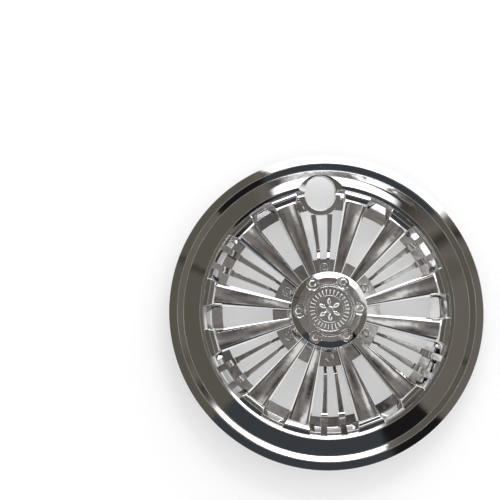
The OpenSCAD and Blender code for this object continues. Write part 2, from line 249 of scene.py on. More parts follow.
# %% [markdown]
# A modifier is added, set and applied at once, so that a piece keeps only its mesh. The copies of
# a form round the wheel are made with the duplicate operator, turned, and joined into one piece.


# %% Modifiers and cutting
def modified(obj, kind, **settings):
    """Adds a modifier with its settings and applies it."""
    pick(obj)
    bpy.ops.object.modifier_add(type=kind)
    modifier = obj.modifiers[-1]
    for name, value in settings.items():
        setattr(modifier, name, value)
    bpy.ops.object.modifier_apply(modifier=modifier.name)
    return obj


def cut(obj, tool, operation="DIFFERENCE"):
    """Cuts obj with a tool, which is then gone."""
    modified(obj, "BOOLEAN", object=tool, operation=operation, solver="EXACT")
    bpy.data.objects.remove(tool)
    return obj


def softened(obj, width=0.35, segments=3, angle=35):
    """Rounds the sharp edges as a mould does, and evens the shading of the flat faces."""
    if width:
        modified(
            obj, "BEVEL", width=width * MM, segments=segments, limit_method="ANGLE",
            angle_limit=math.radians(angle),
        )
    pick(obj)
    bpy.ops.object.shade_smooth_by_angle(angle=math.radians(angle))
    modified(obj, "WEIGHTED_NORMAL", keep_sharp=True)
    print(obj.name, len(obj.data.polygons), "faces")
    return obj


# %% Joining, turning and copying
def joined(name, parts):
    """Joins parts into one piece."""
    pick(parts[0])
    for part in parts:
        part.select_set(True)
    bpy.ops.object.join()
    parts[0].name = name
    return parts[0]


def turned_to(obj, angle):
    """Turns a piece about the wheel's axis and keeps its object unturned."""
    pick(obj)
    bpy.ops.object.transform_apply(location=True, rotation=True, scale=True)
    obj.rotation_euler.z = math.radians(angle)
    bpy.ops.object.transform_apply(location=True, rotation=True, scale=True)
    return obj


def around(obj, angles):
    """Copies of a form at several angles round the wheel, each with its own mesh, as one piece."""
    copies = []
    for angle in angles:
        pick(obj)
        bpy.ops.object.duplicate()
        copies.append(turned_to(bpy.context.object, angle))
    name = obj.name
    bpy.data.objects.remove(obj)
    return joined(name, copies)


# %% [markdown]
# ## The outer ring
#
# Seen from above the ring has a rolled outer bead, a groove, a wide and slightly crowned band that
# leans outwards, a narrow ledge inside it, and a sloped wall down to a flat apron round the
# windows. It is the same section all the way round, so it is turned from one line. The back of
# the wall is that line moved inwards by the wall's thickness. The crown matters more than it
# looks: a mirror with one slope would show a single stripe of the room, sharp at both edges.

# %% Turn the ring
EDGE_Z = BACK_Z + 3.85  # outer edge of the bead
BEAD_Z = BACK_Z + 7.35  # top of the bead
GROOVE_Z = BACK_Z + 4.4  # bottom of the groove
BAND_MID_R, BAND_MID_Z = GROOVE_R - 6, BACK_Z + 7.2
BAND_CROWN_R = 60  # radius of the band's slight bend
CREST_Z = BACK_Z + 9.6  # inner edge of the band

ring_face = [
    (RIM_R, BACK_Z, 0),
    (RIM_R, EDGE_Z, 1.2),
    (BEAD_R, BEAD_Z, 1.2),
    (GROOVE_R + 0.2, GROOVE_Z, 1.1),
    (BAND_MID_R, BAND_MID_Z, BAND_CROWN_R),
    (CREST_R + 1, CREST_Z, 0.9),
    (CREST_R - 1.4, CREST_Z - 1.6, 0.5),
    (NOSE_R, LEDGE_Z, 0.5),
    (LEDGE_R, LEDGE_Z - 0.2, 0.6),
    (FOOT_R, FLOOR_Z, 1.4),
    (WINDOW_OUT_R, FLOOR_Z, 0),
]
ring_back = under(ring_face, WALL)
ring_section = rounded(ring_face, closed=False) + rounded(ring_back, closed=False)[::-1]
ring = turned("outer_ring", ring_section, steps=288)
print("ring section", len(ring_section), "points")

# %% [markdown]
# ## The hub
#
# The hub is turned in the same way: a floor, a round wall, a steep bevel and a flat top. It is
# closed at its middle, so the line starts and ends on the axis. The seat of the medallion lies in
# the middle of the top, inside a fine groove.

# %% Turn the hub
HUB_WALL_Z = BACK_Z + 21.5  # where the bevel starts
SEAT_R = 17.7  # the medallion's seat
SEAT_DEPTH = 1.6
FINE_GROOVE_DEPTH = 0.7

hub_face = [
    (WINDOW_IN_R, FLOOR_Z, 0),
    (HUB_R + 0.4, FLOOR_Z, 1),
    (HUB_R, HUB_WALL_Z, 0.7),
    (CAP_R, CAP_Z, 0.8),
    (SEAT_R + 2.5, CAP_Z, 0.2),
    (SEAT_R + 2.5, CAP_Z - FINE_GROOVE_DEPTH, 0.2),
    (SEAT_R + 1.2, CAP_Z - FINE_GROOVE_DEPTH, 0.2),
    (SEAT_R + 1.2, CAP_Z, 0.2),
    (SEAT_R, CAP_Z, 0.2),
    (SEAT_R, CAP_Z - SEAT_DEPTH, 0.2),
    (0, CAP_Z - SEAT_DEPTH, 0),
]
hub_back = [
    (0, CAP_Z - SEAT_DEPTH - WALL, 0),
    (CAP_R - 2, CAP_Z - SEAT_DEPTH - WALL, 1),
    (HUB_R - WALL, HUB_WALL_Z - 2.3, 1),
    (HUB_R - WALL + 0.4, BASE_Z, 0.8),
    (WINDOW_IN_R, BASE_Z, 0),
]
hub_section = rounded(hub_back, closed=False, steps=4) + rounded(hub_face, closed=False, steps=4)
hub = turned("hub", hub_section, steps=192, closed=False)
print("hub section", len(hub_section), "points")

# %% [markdown]
# ## Cutting the openings
#
# The valve hole is a round hole drawn out along its radius, and it goes through the ring. Behind
# each broad spoke the real moulding is hollow, or the thick plastic would sink as it cools, so
# the same pockets are cut into ring and hub. Six round wells for the dummy bolts cut into the
# edge of the hub's top.

# %% Outlines of the valve hole and of a spoke's pocket
VALVE_R = NOSE_R - 2.4  # middle of the hole
VALVE_W = 23.5  # across the hole
VALVE_LONG = 3  # how much longer than wide it is
BROW_Z = FLOOR_Z + 4.8  # height of the brow's cone at the hole's edge
BROW_SLOPE = 0.7  # rise of the cone for each millimetre outwards
CUT_LOW, CUT_HIGH = 0, 60  # ends of a cutter that goes right through


def valve_outline(extra=0.0, steps=32):
    """The valve hole's outline, grown by extra millimetres, at the wheel's top."""
    radius = VALVE_W / 2 + extra
    points = []
    for side, first in ((1, 0), (-1, 180)):
        for k in range(steps + 1):
            angle = math.radians(first + 180 * k / steps)
            centre = VALVE_R + side * VALVE_LONG / 2
            points.append((radius * math.cos(angle), centre + radius * math.sin(angle)))
    return points


def valve_cone(rise=0.0):
    """A cutter that widens upwards round the valve hole, at a slope of 35 degrees."""
    rows = [(extra, BROW_Z + BROW_SLOPE * extra) for extra in (-0.5, 7)] + [(7, CUT_HIGH)]
    return skin("valve_cone", [
        [(x, y, z + rise) for x, y in valve_outline(extra)] for extra, z in rows
    ])


def wedge_outline(angle, r0, r1, wall=0.0):
    """A flat-ended outline between two radii that fills an angle, less a wall on each side."""
    slope = math.tan(math.radians(angle / 2))
    wall /= math.cos(math.radians(angle / 2))
    return [
        (r0, wall - r0 * slope), (r1, wall - r1 * slope),
        (r1, r1 * slope - wall), (r0, r0 * slope - wall),
    ]


# %% Cut the pockets and the valve hole
SPOKE_ANGLE = 12.2  # between a spoke's two sides
SPOKE_SIDE = 1.6  # thickness of a spoke's side wall
BLOCK_SIDE = 2.1  # thickness of the side wall under a block
ROOF = 3.2  # thickness over a pocket
POCKET_LOW = 9  # a height under the apron's back
VALVE_CLEAR = 3  # the ring is cut wider than the hole, and the lip fills the rest
LIP_COVER = 0.05  # the ring is cut deeper than the lip, so that the lip covers the cut


def pocket(r0, r1, side, top):
    """A cutter for the hollow between the side walls of a broad spoke, under its roof."""
    return block("pocket", wedge_outline(SPOKE_ANGLE, r0, r1, side), POCKET_LOW, top - ROOF)


cut(ring, around(pocket(HUB_R + WALL, FOOT_R, SPOKE_SIDE, SPOKE_Z), SPOKES))
cut(ring, around(pocket(FOOT_R - 1.2, LEDGE_R + 0.6, BLOCK_SIDE, BLOCK_Z), SPOKES))
cut(ring, block("valve_cutter", valve_outline(VALVE_CLEAR), CUT_LOW, CUT_HIGH))
cut(ring, valve_cone(-LIP_COVER))
cut(hub, around(pocket(HUB_R + WALL, WINDOW_IN_R + 5, SPOKE_SIDE, SPOKE_Z), SPOKES))
softened(ring, 0)

# %% Cut the wells of the bolts
BOLT_CIRCLE_R = 23.3
BOLT_SEAT_Z = CAP_Z - 2.2  # floor of a well
WELL_R = 4.65
WELL_FLARE = 0.85  # how much wider a well is at its mouth

well_line = [
    (0, CAP_Z + 3, 0), (WELL_R + WELL_FLARE, CAP_Z + 3, 0), (WELL_R + WELL_FLARE, CAP_Z + 0.1, 0),
    (WELL_R, CAP_Z - 0.65, 0.1), (WELL_R, BOLT_SEAT_Z, 0.4), (0, BOLT_SEAT_Z, 0),
]
well = turned("bolt_wells", rounded(well_line, closed=False), steps=40, closed=False)
well.location.x = BOLT_CIRCLE_R * MM
turned_to(well, 0)
cut(hub, around(well, PAIRS))
softened(hub, 0.35, 1, 50)

# %% [markdown]
# ## The broad spokes
#
# Twelve broad spokes stand in six pairs. Each one widens outwards between two radial lines, is
# gently crowned across, dips a little along its length, and falls away down both sides in two
# facets. The outer facet leans at 40 degrees, so it mirrors the bright horizon and draws a fine
# white line along the spoke. A skin of sections does this: every section is worked out at its
# own radius.

# %% Lay the skin of a spoke
BAR_Z = BASE_Z + 0.4  # underside of all that stands on the apron
BEVEL_ANGLE = 2.4  # the share of a side's facets in the spoke's angle
CROWN_R = 260  # radius of the crown across the top
DISH = 0.5  # how far the top dips halfway along
INNER_FACET, OUTER_FACET = 27, 40  # slopes


def spoke_section(r):
    """The section of a spoke at a radius: outside over the top, then back under the skin."""
    half = r * math.tan(math.radians(SPOKE_ANGLE / 2))
    flat = r * math.tan(math.radians(SPOKE_ANGLE / 2 - BEVEL_ANGLE))
    mid, reach = (HUB_R + LEDGE_R) / 2, (LEDGE_R - HUB_R) / 2
    top = SPOKE_Z - DISH + DISH * ((r - mid) / reach) ** 2
    edge, brink = flat + (half - flat) * 0.12, flat + (half - flat) * 0.55
    edge_z = top - edge**2 / (2 * CROWN_R)
    brink_z = edge_z - (brink - edge) * math.tan(math.radians(INNER_FACET))
    side_z = brink_z - (half - brink) * math.tan(math.radians(OUTER_FACET))
    places = [edge * k / 6 for k in range(5, -6, -1)]
    crown = [(y, top - y**2 / (2 * CROWN_R), 0) for y in places]
    inner, roof = half - SPOKE_SIDE, SPOKE_Z - ROOF
    corners = [
        (half, BAR_Z, 0), (half, side_z, 0.3), (brink, brink_z, 0.4), (edge, edge_z, 0.6), *crown,
        (-edge, edge_z, 0.6), (-brink, brink_z, 0.4), (-half, side_z, 0.3), (-half, BAR_Z, 0),
        (-inner, BAR_Z, 0), (-inner, roof, 0.6), (inner, roof, 0.6), (inner, BAR_Z, 0),
    ]
    return [(r, p.x, p.y) for p in rounded(corners, steps=4)]


spoke = radial_skin("broad_spokes", spoke_section, HUB_R - 1.2, LEDGE_R, 24)
spokes = around(spoke, SPOKES)
softened(spokes, 0)

# %% [markdown]
# ## The raised blocks
#
# Where a spoke meets the ring it climbs a riser in two slopes to a block, whose top falls away
# again outwards. Its flanks flare out at the same time, so its sections change both in height
# and in width.

# %% Lay the skin of a block
BLOCK_START_R, BLOCK_END_R = LEDGE_R - 6.4, LEDGE_R + 3.2
RISER_R = LEDGE_R - 6  # foot of the riser
RISER_BEND_R = LEDGE_R - 4.2  # where its slope changes
RISER_TOP_R = LEDGE_R - 1.4
FLARE_START_R, FLARE_END_R = LEDGE_R - 4.9, LEDGE_R + 0.1
FLARE = 1.2  # how far each flank flares out
FALL_R = LEDGE_R - 1.1  # where the top starts to fall


def climb(value, start, end):
    """0 before start, 1 after end, and an even climb between them."""
    return min(max((value - start) / (end - start), 0), 1)


def eased(x):
    """A climb from 0 to 1 that starts and ends softly."""
    return x * x * (3 - 2 * x)


def block_section(r):
    """The section of a block at a radius: up one flank, over the top and down the other."""
    rise = 0.55 * climb(r, RISER_R, RISER_BEND_R) + 0.45 * climb(r, RISER_BEND_R, RISER_TOP_R)
    flare = FLARE * eased(climb(r, FLARE_START_R, FLARE_END_R))
    half = r * math.tan(math.radians(SPOKE_ANGLE / 2)) - 0.35 + flare
    start_z = SPOKE_Z - 0.9
    fall = max(r - FALL_R, 0)
    top = start_z + (BLOCK_Z - start_z) * rise - 0.5 * fall**2 / (fall + 1.2)
    corners = [(half, BAR_Z, 0), (half, top, 0.9), (-half, top, 0.9), (-half, BAR_Z, 0)]
    return [(r, p.x, p.y) for p in rounded(corners, steps=5)]


spoke_block = radial_skin("spoke_blocks", block_section, BLOCK_START_R, BLOCK_END_R, 24)
cut(spoke_block, pocket(BLOCK_START_R - 5, LEDGE_R + 0.6, BLOCK_SIDE, BLOCK_Z))
blocks = around(spoke_block, SPOKES)
softened(blocks, 0)

# %% [markdown]
# ## The cups and corners
#
# Between the two spokes of a pair the ring has a filled corner with a cup scooped out of it, and
# beside each fan of thin ribs there is a smaller corner with a scoop like a piece of a cone. Each
# is a wedge from which a cutter of the scoop's own form is taken away.

# %% Scoop the cups
GAP = 2 * PAIR_HALF - SPOKE_ANGLE
CUP_R = WINDOW_OUT_R + 0.8  # the point from which a cup's outline is drawn
CUP_TOP_Z = LEDGE_Z - 0.35


def cup_line(z, half_width, half_end, reach, count=24):
    """A line round a cup: straight sides, two cut corners and a straight end."""
    points = []
    for k in range(count + 1):
        angle = math.radians(-90 + 180 * k / count)
        x, y = abs(math.cos(angle)), abs(math.sin(angle))
        scale = min(reach / max(x, 1e-6), half_width / max(y, 1e-6), (reach + half_end) / (x + y))
        points.append((CUP_R + math.cos(angle) * scale, math.sin(angle) * scale, z))
    return points + [(CUP_R - 12, half_width, z), (CUP_R - 12, -half_width, z)]


cup_wedge = wedge_outline(GAP + 2, WINDOW_OUT_R + 0.1, LEDGE_R + 1)
cup_body = block("pair_cups", cup_wedge, BAR_Z, CUP_TOP_Z)
scoop = skin("scoop", [
    cup_line(FLOOR_Z - 0.3, 7.8, 3, 10.2),
    cup_line(FLOOR_Z, 7.9, 3, 10.4),
    cup_line(CUP_TOP_Z, 8.9, 3.4, 11.8),
    cup_line(LEDGE_Z + 0.5, 9.2, 3.4, 12.2),
])
cut(cup_body, scoop)
cups = around(cup_body, PAIRS)
softened(cups, 0.35, 1, 40)

# %% Scoop the corners
CORNER_REACH = 6.2  # length of a corner along the spoke
CONE_FOOT_R = 2.8

corner_r = LEDGE_R - CORNER_REACH
corner_edge = SECTOR / 2 - PAIR_HALF - SPOKE_ANGLE / 2
corner_inner = corner_edge - math.degrees(math.atan(CORNER_REACH / corner_r))
corner_wedge = wedge_outline(corner_edge - corner_inner + 1, corner_r, LEDGE_R + 1)
corner = block("fan_corners", corner_wedge, BAR_Z, LEDGE_Z - 0.4)
turned_to(corner, (corner_edge + corner_inner) / 2 + 0.5)
cone_line = [
    (0, FLOOR_Z - 0.3, 0), (CONE_FOOT_R, FLOOR_Z - 0.3, 0),
    (CORNER_REACH + 0.2, LEDGE_Z - 0.1, 0), (0, LEDGE_Z - 0.1, 0),
]
cone = turned("cone", rounded(cone_line, closed=False), steps=48, closed=False)
cone.location.x = corner_r * MM
cut(corner, turned_to(cone, corner_inner))
modified(corner, "MIRROR", use_axis=(False, True, False), use_mirror_merge=False)
edit(corner)
corners = around(corner, FANS[1:])
softened(corners, 0.3, 1, 40)

# %% [markdown]
# ## The thin ribs
#
# Each fan has two thin ribs. A rib rises from the hub's floor over a long slope, runs outwards
# with a bevel on both sides, and ends in a square block with a round tab behind a moon-shaped
# groove. The two ribs at the valve hole end in its collar. A rib is a skin, as a spoke is, and
# its end is a plate with a block for the tab.

# %% A rib and its round tab
RIB_ANGLE = 3.4  # between a rib's two sides
RIB_Z = BACK_Z + 4.2
RIB_CLIMB = 7  # length of the slope at the hub


def rib_section(r):
    """The section of a rib at a radius, with its two bevels."""
    half = r * math.tan(math.radians(RIB_ANGLE / 2))
    start_r, start_z = WINDOW_IN_R - 0.5, FLOOR_Z - 0.6
    rise = climb(r, start_r, start_r + RIB_CLIMB)
    top = start_z + (RIB_Z - start_z) * rise
    slope = min(half * 0.3, 0.55)
    drop = slope * 0.84 * (0.2 + 0.8 * rise)
    corners = [
        (half, BAR_Z, 0), (half, top - drop, 0.15), (half - slope, top, 0.2),
        (slope - half, top, 0.2), (-half, top - drop, 0.15), (-half, BAR_Z, 0),
    ]
    return [(r, p.x, p.y) for p in rounded(corners, steps=3)]


def round_points(x, radius, first=0, last=360, steps=48):
    """Points (x, y) on a circle round a place on the x axis, from one angle to another."""
    turns = [math.radians(first + (last - first) * k / steps) for k in range(steps + 1)]
    points = [(x + radius * math.cos(a), radius * math.sin(a)) for a in turns]
    return points[:-1] if last - first == 360 else points


print("a rib is", 2 * rib_section(WINDOW_OUT_R)[0][1], "mm wide at the apron")

# %% The block at a rib's end
END_R = WINDOW_OUT_R - 0.5  # where the block's flat top starts
END_Z = BACK_Z + 5.5  # top of the block
END_RISER = 2.4  # length of the slope up to it
TAB_R = 2.4
MOON_W = 0.9  # width of the groove round the tab


def rib_end():
    """The block with its tab, at the outer end of a rib."""
    half = END_R * math.tan(math.radians(RIB_ANGLE / 2)) + 0.05
    end = plate("rib_end", [
        (END_R - END_RISER, BAR_Z), (END_R - END_RISER, RIB_Z - 0.3), (END_R, END_Z),
        (LEDGE_R, END_Z), (LEDGE_R, BAR_Z),
    ], 2 * half)
    tab_x = LEDGE_R - TAB_R - 0.2
    cut(end, block("moon", round_points(tab_x, TAB_R + MOON_W), END_Z - 2, END_Z + 3))
    tab = round_points(tab_x, TAB_R, 90, 270, 16) + [(NOSE_R + 0.5, -TAB_R), (NOSE_R + 0.5, TAB_R)]
    return joined("rib_end", [end, block("tab", tab, BAR_Z, LEDGE_Z + 0.1)])


# %% Fans of two ribs
RIB_SPREAD = 4.8  # from the middle of a fan to each rib
COLLAR_W = 3.9  # width of the valve hole's collar


def fan(with_ends):
    """Two ribs side by side; without ends they stop inside the valve hole's collar."""
    collar_r = VALVE_R - VALVE_LONG / 2 - VALVE_W / 2 - COLLAR_W
    end = WINDOW_OUT_R + 0.5 if with_ends else collar_r + 1
    parts = []
    for side in (-1, 1):
        rib = radial_skin("rib", rib_section, WINDOW_IN_R - 1.5, end, 20)
        if with_ends:
            rib = joined("rib", [rib, rib_end()])
        parts.append(turned_to(rib, side * RIB_SPREAD))
    return joined("fan", parts)


ribs = around(fan(True), FANS[1:])
valve_ribs = turned_to(fan(False), VALVE_ANGLE)
ribs = joined("thin_ribs", [ribs, valve_ribs])
softened(ribs, 0.3, 1, 40)

# %% [markdown]
# ## The valve hole's collar and lip
#
# The inner half of the hole has a flat collar that joins the two short ribs. Where the hole cuts
# the band, its surround falls away to the hole. A cone cuts it, and because the band leans, the
# edge of that cut is an arched brow: wide at the band's crest and narrow at its outer end. The
# lip that fills the cut is turned from the ring's own line, a hair larger.

# %% Collar and lip
COLLAR_Z = BACK_Z + 4.6
LIP_W = 6.5
LIP_PROUD = 0.04  # how far the lip stands over the ring's face

collar = block("valve_collar", valve_outline(COLLAR_W), BASE_Z - 0.4, COLLAR_Z)
cut(collar, block("hole", valve_outline(), CUT_LOW, CUT_HIGH))
lip_face = under(ring_face, -LIP_PROUD)
lip_section = [
    Vector((RIM_R + LIP_PROUD, BAR_Z)), *rounded(lip_face, closed=False),
    Vector((WINDOW_OUT_R, BAR_Z)),
]
lip = turned("valve_lip", lip_section, steps=288)
cut(lip, block("lip_wall", valve_outline(LIP_W), BASE_Z, CUT_HIGH), "INTERSECT")
cut(lip, block("hole", valve_outline(), CUT_LOW, CUT_HIGH))
cut(lip, valve_cone())
softened(collar, 0.5, 3, 40)
softened(lip, 0)

# %% [markdown]
# ## Lugs and dummy bolts
#
# On the hub's floor a small round lug with a hole stands in the middle of each fan. The bolts are
# dummies, moulded with the cover: a hexagonal head on a low round seat. Small forms on a mirror
# are seen by their slopes alone, so the head narrows above in six wide sloping faces.

# %% Lugs
LUG_CIRCLE_R = (HUB_R + WINDOW_IN_R) / 2 - 1
LUG_R = 3.4
LUG_BORE_R = 1.3
LUG_H = 2.6

lug_section = [
    (LUG_BORE_R, FLOOR_Z - 1, 0), (LUG_R, FLOOR_Z - 1, 0), (LUG_R, FLOOR_Z + LUG_H, 0.4),
    (LUG_BORE_R, FLOOR_Z + LUG_H, 0.3),
]
lugs = turned("lugs", rounded(lug_section, steps=4), steps=40)
lugs.location.x = LUG_CIRCLE_R * MM
turned_to(lugs, 0)
lugs = around(lugs, FANS)
softened(lugs, 0)

# %% Dummy bolts
HEAD_W, HEAD_TOP_W = 5, 3.6  # across the flats, and across the small flat top

seat_section = [
    (0, BOLT_SEAT_Z - 4.2, 0), (4.4, BOLT_SEAT_Z - 4.2, 0), (4.4, BOLT_SEAT_Z - 0.4, 0.3),
    (3.8, BOLT_SEAT_Z + 0.12, 0.15), (3.2, BOLT_SEAT_Z - 0.4, 0.1), (0, BOLT_SEAT_Z - 0.4, 0),
]
seat = turned("seat", rounded(seat_section, closed=False, steps=4), steps=48, closed=False)


def hexagon(size, z):
    """The corners of a hexagon, size from one flat to the other, at a height."""
    corner_r = size / math.sqrt(3)
    turns = [math.radians(60 * k) for k in range(6)]
    return [(corner_r * math.cos(a), corner_r * math.sin(a), z) for a in turns]


head = skin("head", [
    hexagon(HEAD_W, BOLT_SEAT_Z - 0.5), hexagon(HEAD_W, BOLT_SEAT_Z + 1.3),
    hexagon(HEAD_TOP_W, BOLT_SEAT_Z + 1.9),
])
bolt = joined("dummy_bolts", [seat, head])
bolt.location.x = BOLT_CIRCLE_R * MM
turned_to(bolt, 0)
bolts = around(bolt, PAIRS)
softened(bolts, 0)

# %% [markdown]
# ## The medallion
#
# Only the medallion is a part of its own, a disc pressed into its seat. It carries a ring of
# short bars, a bead, and a flower of plain petals round a boss. The disc is turned. The bars and
# petals are skins with three rows, whose last row is drawn in, which gives them wide slopes.

# %% The medallion's disc
disc_low, disc_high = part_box("centre_medallion")
DISC_R = disc_high.x / MM
DISC_T = 2
FACE_Z = disc_low.z / MM + DISC_T
RELIEF = 0.5
disc_section = [
    (0, FACE_Z - DISC_T, 0), (DISC_R, FACE_Z - DISC_T, 0), (DISC_R, FACE_Z + RELIEF, 0.3),
    (DISC_R - 1.1, FACE_Z + RELIEF, 0.2), (DISC_R - 1.3, FACE_Z, 0.15),
    (10.7, FACE_Z, 0.15), (10.6, FACE_Z + RELIEF, 0.2), (9.9, FACE_Z + RELIEF, 0.2),
    (9.8, FACE_Z, 0.15), (2.6, FACE_Z, 0.2), (1.9, FACE_Z + 0.8, 0.6), (0, FACE_Z + 1.1, 0),
]
disc = turned("disc", rounded(disc_section, closed=False, steps=4), steps=120, closed=False)

# %% Bars and petals
BARS = 30
BAR_IN_R, BAR_OUT_R, BAR_HALF = 11.1, 15.2, 0.78
PETAL_R, PETAL_LONG, PETAL_WIDE = 5.95, 6.3, 3.0


def relief(name, line, steps):
    """A raised form: line(inset) gives its outline, and its faces slope at about 40 degrees."""
    return skin(name, [[(x, y, FACE_Z + z) for x, y in line(inset)] for inset, z in steps])


def bar_line(inset):
    """A bar that widens a little outwards."""
    inner, outer, half = BAR_IN_R + inset, BAR_OUT_R - inset, BAR_HALF - inset
    return [(inner, -0.8 * half), (outer, -half), (outer, half), (inner, 0.8 * half)]


def petal_line(inset):
    """A leaf between two arcs, as long as its ends are apart and as wide as its middle."""
    long, wide = PETAL_LONG - 3 * inset, PETAL_WIDE - 2 * inset
    radius = (long**2 + wide**2) / (4 * wide)
    sweep = math.asin(long / 2 / radius)
    turns = [-sweep + 2 * sweep * k / 12 for k in range(12)]
    return [
        (PETAL_R - side * radius * math.sin(a), side * (radius * math.cos(a) - radius + wide / 2))
        for side in (1, -1) for a in turns
    ]


bar = relief("bar", bar_line, ((0, -0.2), (0, 0.05), (0.62, 0.55)))
bars = around(bar, [360 / BARS * k for k in range(BARS)])
petal = relief("petal", petal_line, ((0, -0.2), (0, 0.1), (0.9, 0.9)))
petals = around(petal, [SECTOR / 2 + SECTOR * k for k in range(6)])
softened(bars, 0)
softened(petals, 0)
softened(disc, 0)
medallion = joined("medallion", [disc, bars, petals])

# %% [markdown]
# ## The back: snap fingers, webs and the wire
#
# Twelve fingers snap into the steel rim. Each has a barb outside and, inside, a hook and a nib
# that hold a ring of spring wire. A web ties each finger to the back of the sloped wall. A finger
# is a short piece of a turned form, so its faces follow the rim. The wire is turned too: it is
# open at the valve hole, where both its ends bend inwards.

# %% Fingers and webs
FINGER_R = NOSE_R + 3.8
FINGER_T = 2.2
FINGER_W = 14
WEB_T = 1.8
FINGERS = [VALVE_ANGLE + 15 + 30 * k for k in range(12)]

finger_section = [
    (FINGER_R - 2.8, 0, 0.2), (FINGER_R - 0.6, 0, 0.3), (FINGER_R + 1.7, 3.2, 0.3),
    (FINGER_R + 1.7, 4, 0.3), (FINGER_R, 5.7, 0.4), (FINGER_R, BACK_Z + 8, 0),
    (FINGER_R - FINGER_T, BACK_Z + 8, 0), (FINGER_R - FINGER_T, 6.9, 0.2),
    (FINGER_R - 3, 6.1, 0.2), (FINGER_R - FINGER_T, 5.3, 0.2), (FINGER_R - FINGER_T, 2.8, 0.2),
    (FINGER_R - 4.12, 2.8, 0.2), (FINGER_R - 4.12, 1.6, 0.2),
]
finger_arc = 2 * math.degrees(math.asin(FINGER_W / 2 / FINGER_R))
finger = turned("snap_fingers", rounded(finger_section, steps=3), steps=12, angle=finger_arc)
fingers = around(turned_to(finger, -finger_arc / 2), FINGERS)
softened(fingers, 0.3, 2, 50)

web = plate("finger_webs", [
    (FOOT_R + 1.2, BASE_Z + 0.7), (FINGER_R - 1.9, BACK_Z - 4),
    (FINGER_R - 1.9, LEDGE_Z - 1.4), (NOSE_R + 0.5, LEDGE_Z - 1.4),
], WEB_T)
webs = around(web, FINGERS)
softened(webs, 0.3, 2, 50)

# %% The wire
wire_low, wire_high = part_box("retention_ring")
WIRE_D = (wire_high.z - wire_low.z) / MM
WIRE_Z = (wire_high.z + wire_low.z) / 2 / MM
WIRE_R = FINGER_R - FINGER_T - 0.05 - WIRE_D / 2
WIRE_GAP = 28  # the angle left open at the valve hole
TAIL = 8  # length of a bent end

circle = [(r, WIRE_Z + z) for r, z in round_points(WIRE_R, WIRE_D / 2, steps=24)]
wire = turned("wire_arc", circle, steps=240, angle=360 - WIRE_GAP)
wire = turned_to(wire, VALVE_ANGLE + WIRE_GAP / 2)
wire_parts = [wire]
for side in (-1, 1):
    tail_line = [(0, -TAIL), (WIRE_D / 2 - 0.3, -TAIL), (WIRE_D / 2, 0.4 - TAIL)]
    tail_line += round_points(0, WIRE_D / 2, 0, 90, 8)
    tail = turned("tail", tail_line, steps=24, closed=False)
    tail.rotation_euler.y = math.radians(90)
    tail.location = (WIRE_R * MM, 0, WIRE_Z * MM)
    wire_parts.append(turned_to(tail, VALVE_ANGLE + side * WIRE_GAP / 2))
wire = joined("spring_wire", wire_parts)
softened(wire, 0)

# %% [markdown]
# ## Materials
#
# Bright chrome plating: the body and the medallion are ABS, etched, then plated with copper,
# nickel and a thin film of chromium. The copper levels the surface and the chromium keeps it
# bright, so the eye sees a near perfect mirror. It is never quite flat: the plastic under it
# leaves waves some 7 mm long, and handling leaves faint smears of some 22 mm. Both are drawn at
# that size.
#
# Zinc plated spring steel: the wire is drawn through a die, coiled and plated in a barrel. That
# leaves a soft grey shine with a fine, uneven grain.


# %% Colours and nodes
def linear(code):
    """A linear colour from an sRGB hex code."""
    channels = [int(code[i : i + 2], 16) / 255 for i in (0, 2, 4)]
    return [c / 12.92 if c < 0.04045 else ((c + 0.055) / 1.055) ** 2.4 for c in channels] + [1]


def node(tree, kind, sockets=None, **settings):
    """Adds a node. Settings are its properties, or its sockets by name with their values.
    Sockets, by name or number, are fed by another node's output or set to a value."""
    made = tree.nodes.new(kind)
    for name, value in settings.items():
        if hasattr(made, name):
            setattr(made, name, value)
        else:
            made.inputs[name.replace("_", " ")].default_value = value
    for name, source in (sockets or {}).items():
        if isinstance(source, bpy.types.NodeSocket):
            tree.links.new(source, made.inputs[name])
        else:
            made.inputs[name].default_value = source
    return made


def new_material(name):
    """An empty material and its node tree."""
    material = bpy.data.materials.new(name)
    material.use_nodes = True
    material.node_tree.nodes.clear()
    return material, material.node_tree


# %% The platings
SMEAR, WAVE = 22, 7  # millimetres from one to the next
WAVE_DEPTH = 0.2


def plating(name, tint, rough, smear, wave):
    """Mirror plating: a tint, a roughness, and the strength of its smears and its waviness."""
    material, tree = new_material(name)
    place = node(tree, "ShaderNodeTexCoord").outputs["Object"]
    smears = node(
        tree, "ShaderNodeTexNoise", {"Vector": place}, Scale=1 / (SMEAR * MM), Detail=5.0,
        Roughness=0.6,
    )
    roughness = node(
        tree, "ShaderNodeMapRange", {"Value": smears.outputs["Fac"]}, From_Min=0.35,
        From_Max=0.75, To_Min=rough, To_Max=rough + smear,
    )
    waves = node(
        tree, "ShaderNodeTexNoise", {"Vector": place}, Scale=1 / (WAVE * MM), Detail=1.0
    )
    bump = node(
        tree, "ShaderNodeBump", {"Height": waves.outputs["Fac"]}, Strength=wave,
        Distance=WAVE_DEPTH * MM,
    )
    shader = node(
        tree, "ShaderNodeBsdfPrincipled",
        {"Roughness": roughness.outputs["Result"], "Normal": bump.outputs["Normal"]},
        Metallic=1.0, Base_Color=linear(tint),
    )
    node(tree, "ShaderNodeOutputMaterial", {"Surface": shader.outputs["BSDF"]})
    return material


chrome_plating = plating("bright chrome plating", "e9e9ea", rough=0.03, smear=0.04, wave=0.1)
spring_steel = plating("zinc plated spring steel", "b4b2ac", rough=0.28, smear=0.12, wave=0.3)
print("materials", chrome_plating.name, "and", spring_steel.name)

